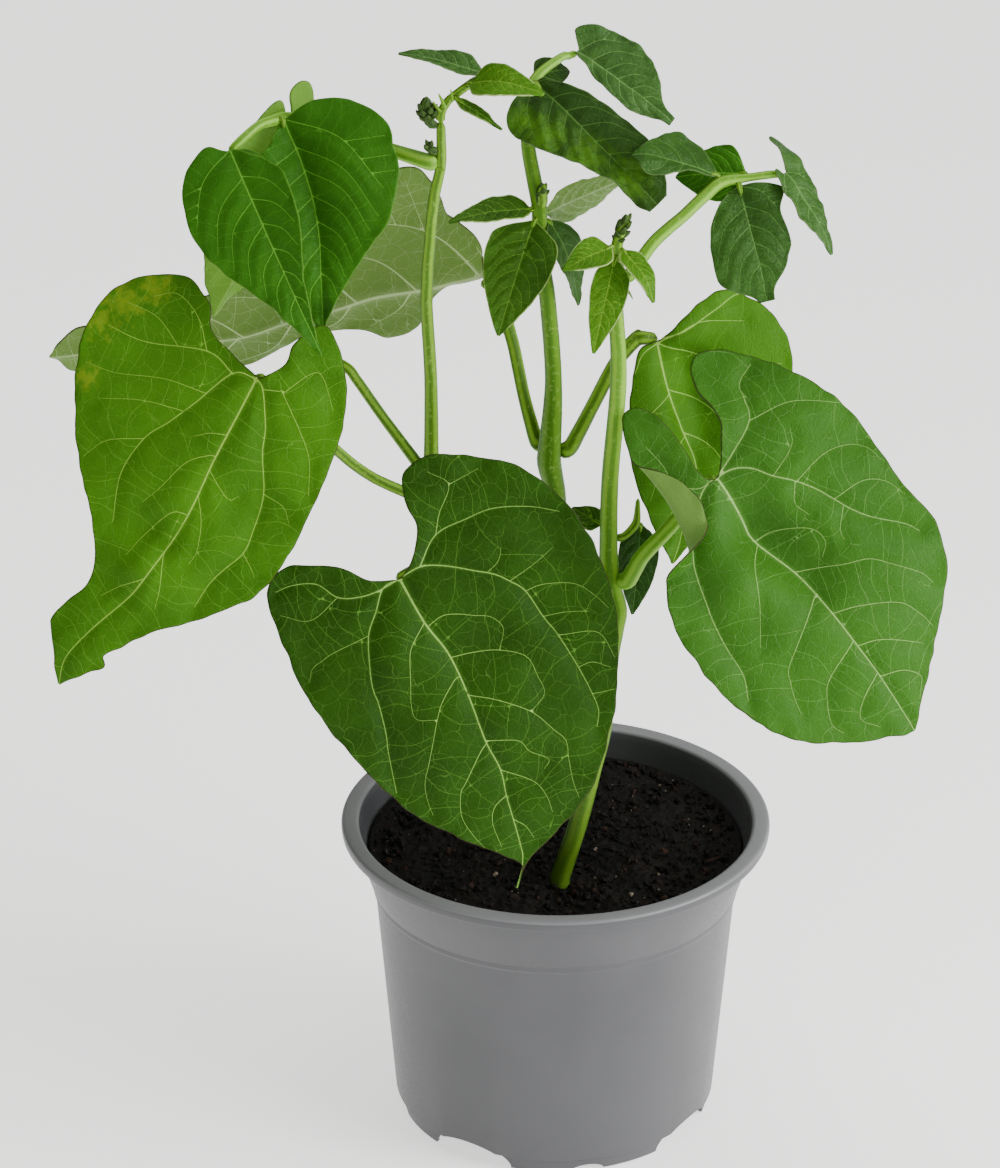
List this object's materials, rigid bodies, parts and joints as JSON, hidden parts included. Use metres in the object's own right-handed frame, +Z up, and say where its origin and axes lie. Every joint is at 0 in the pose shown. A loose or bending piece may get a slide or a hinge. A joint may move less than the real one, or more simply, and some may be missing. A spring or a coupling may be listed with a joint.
{
  "type": "potted bush bean plant",
  "caption": "Young bush bean plants in a round nursery pot of dark peat, with broad heart-shaped primary leaves on arching petioles and small compound leaves at the stem tops.",
  "frame": {"origin": "centre of the whole object's box in X and Y, on the plane that the foot of the pot stands on", "axes": "+Z up, from the pot to the stem tops; +Y from the front leaf towards the back leaves; +X to the right, seen from the front"},
  "size_m": [0.2424, 0.1264, 0.3154],
  "materials": {
    "pot_plastic": "satin",
    "peat": "matte",
    "stem_green": "satin",
    "leaf_green": "satin",
    "young_green": "satin"
  },
  "bodies": {
    "root": {"pot": "pot_plastic", "soil": "peat", "stem_right": "stem_green", "stem_centre": "stem_green", "stem_left": "stem_green", "petiole_front": "stem_green", "petiole_right": "stem_green", "petiole_left": "stem_green", "petiole_left_back": "stem_green", "petiole_back_left": "stem_green", "petiole_back_right": "stem_green", "petiole_upper_left": "stem_green", "petiole_upper_right": "stem_green", "petiole_top": "stem_green", "petiole_top_left": "stem_green", "leaf_front": "leaf_green", "leaf_left": "leaf_green", "leaf_right": "leaf_green", "leaf_back_right": "leaf_green", "leaf_back_left": "leaf_green", "leaf_left_back": "leaf_green", "leaflet_upper_left_end": "leaf_green", "leaflet_upper_left_side": "leaf_green", "leaflet_upper_left_back": "leaf_green", "leaflet_top_side": "leaf_green", "leaflet_top_end": "leaf_green", "leaflet_top_back": "leaf_green", "leaflet_upper_right_end": "leaf_green", "leaflet_upper_right_front": "leaf_green", "leaflet_upper_right_inner": "leaf_green", "leaflet_upper_right_back": "leaf_green", "leaflet_crown_left_long": "young_green", "leaflet_crown_left_end": "young_green", "leaflet_crown_left_low": "young_green", "leaflet_crown_centre_left": "young_green", "leaflet_crown_centre_front": "young_green", "leaflet_crown_centre_right": "young_green", "leaflet_crown_centre_back": "young_green", "leaflet_crown_right_left": "young_green", "leaflet_crown_right_front": "young_green", "leaflet_crown_right_right": "young_green", "leaf_axil_right": "young_green", "leaf_axil_left": "young_green", "bud_left": "young_green", "bud_left_side": "young_green", "bud_centre": "young_green", "bud_right": "young_green", "bud_axil": "young_green"}
  },
  "joints": []
}
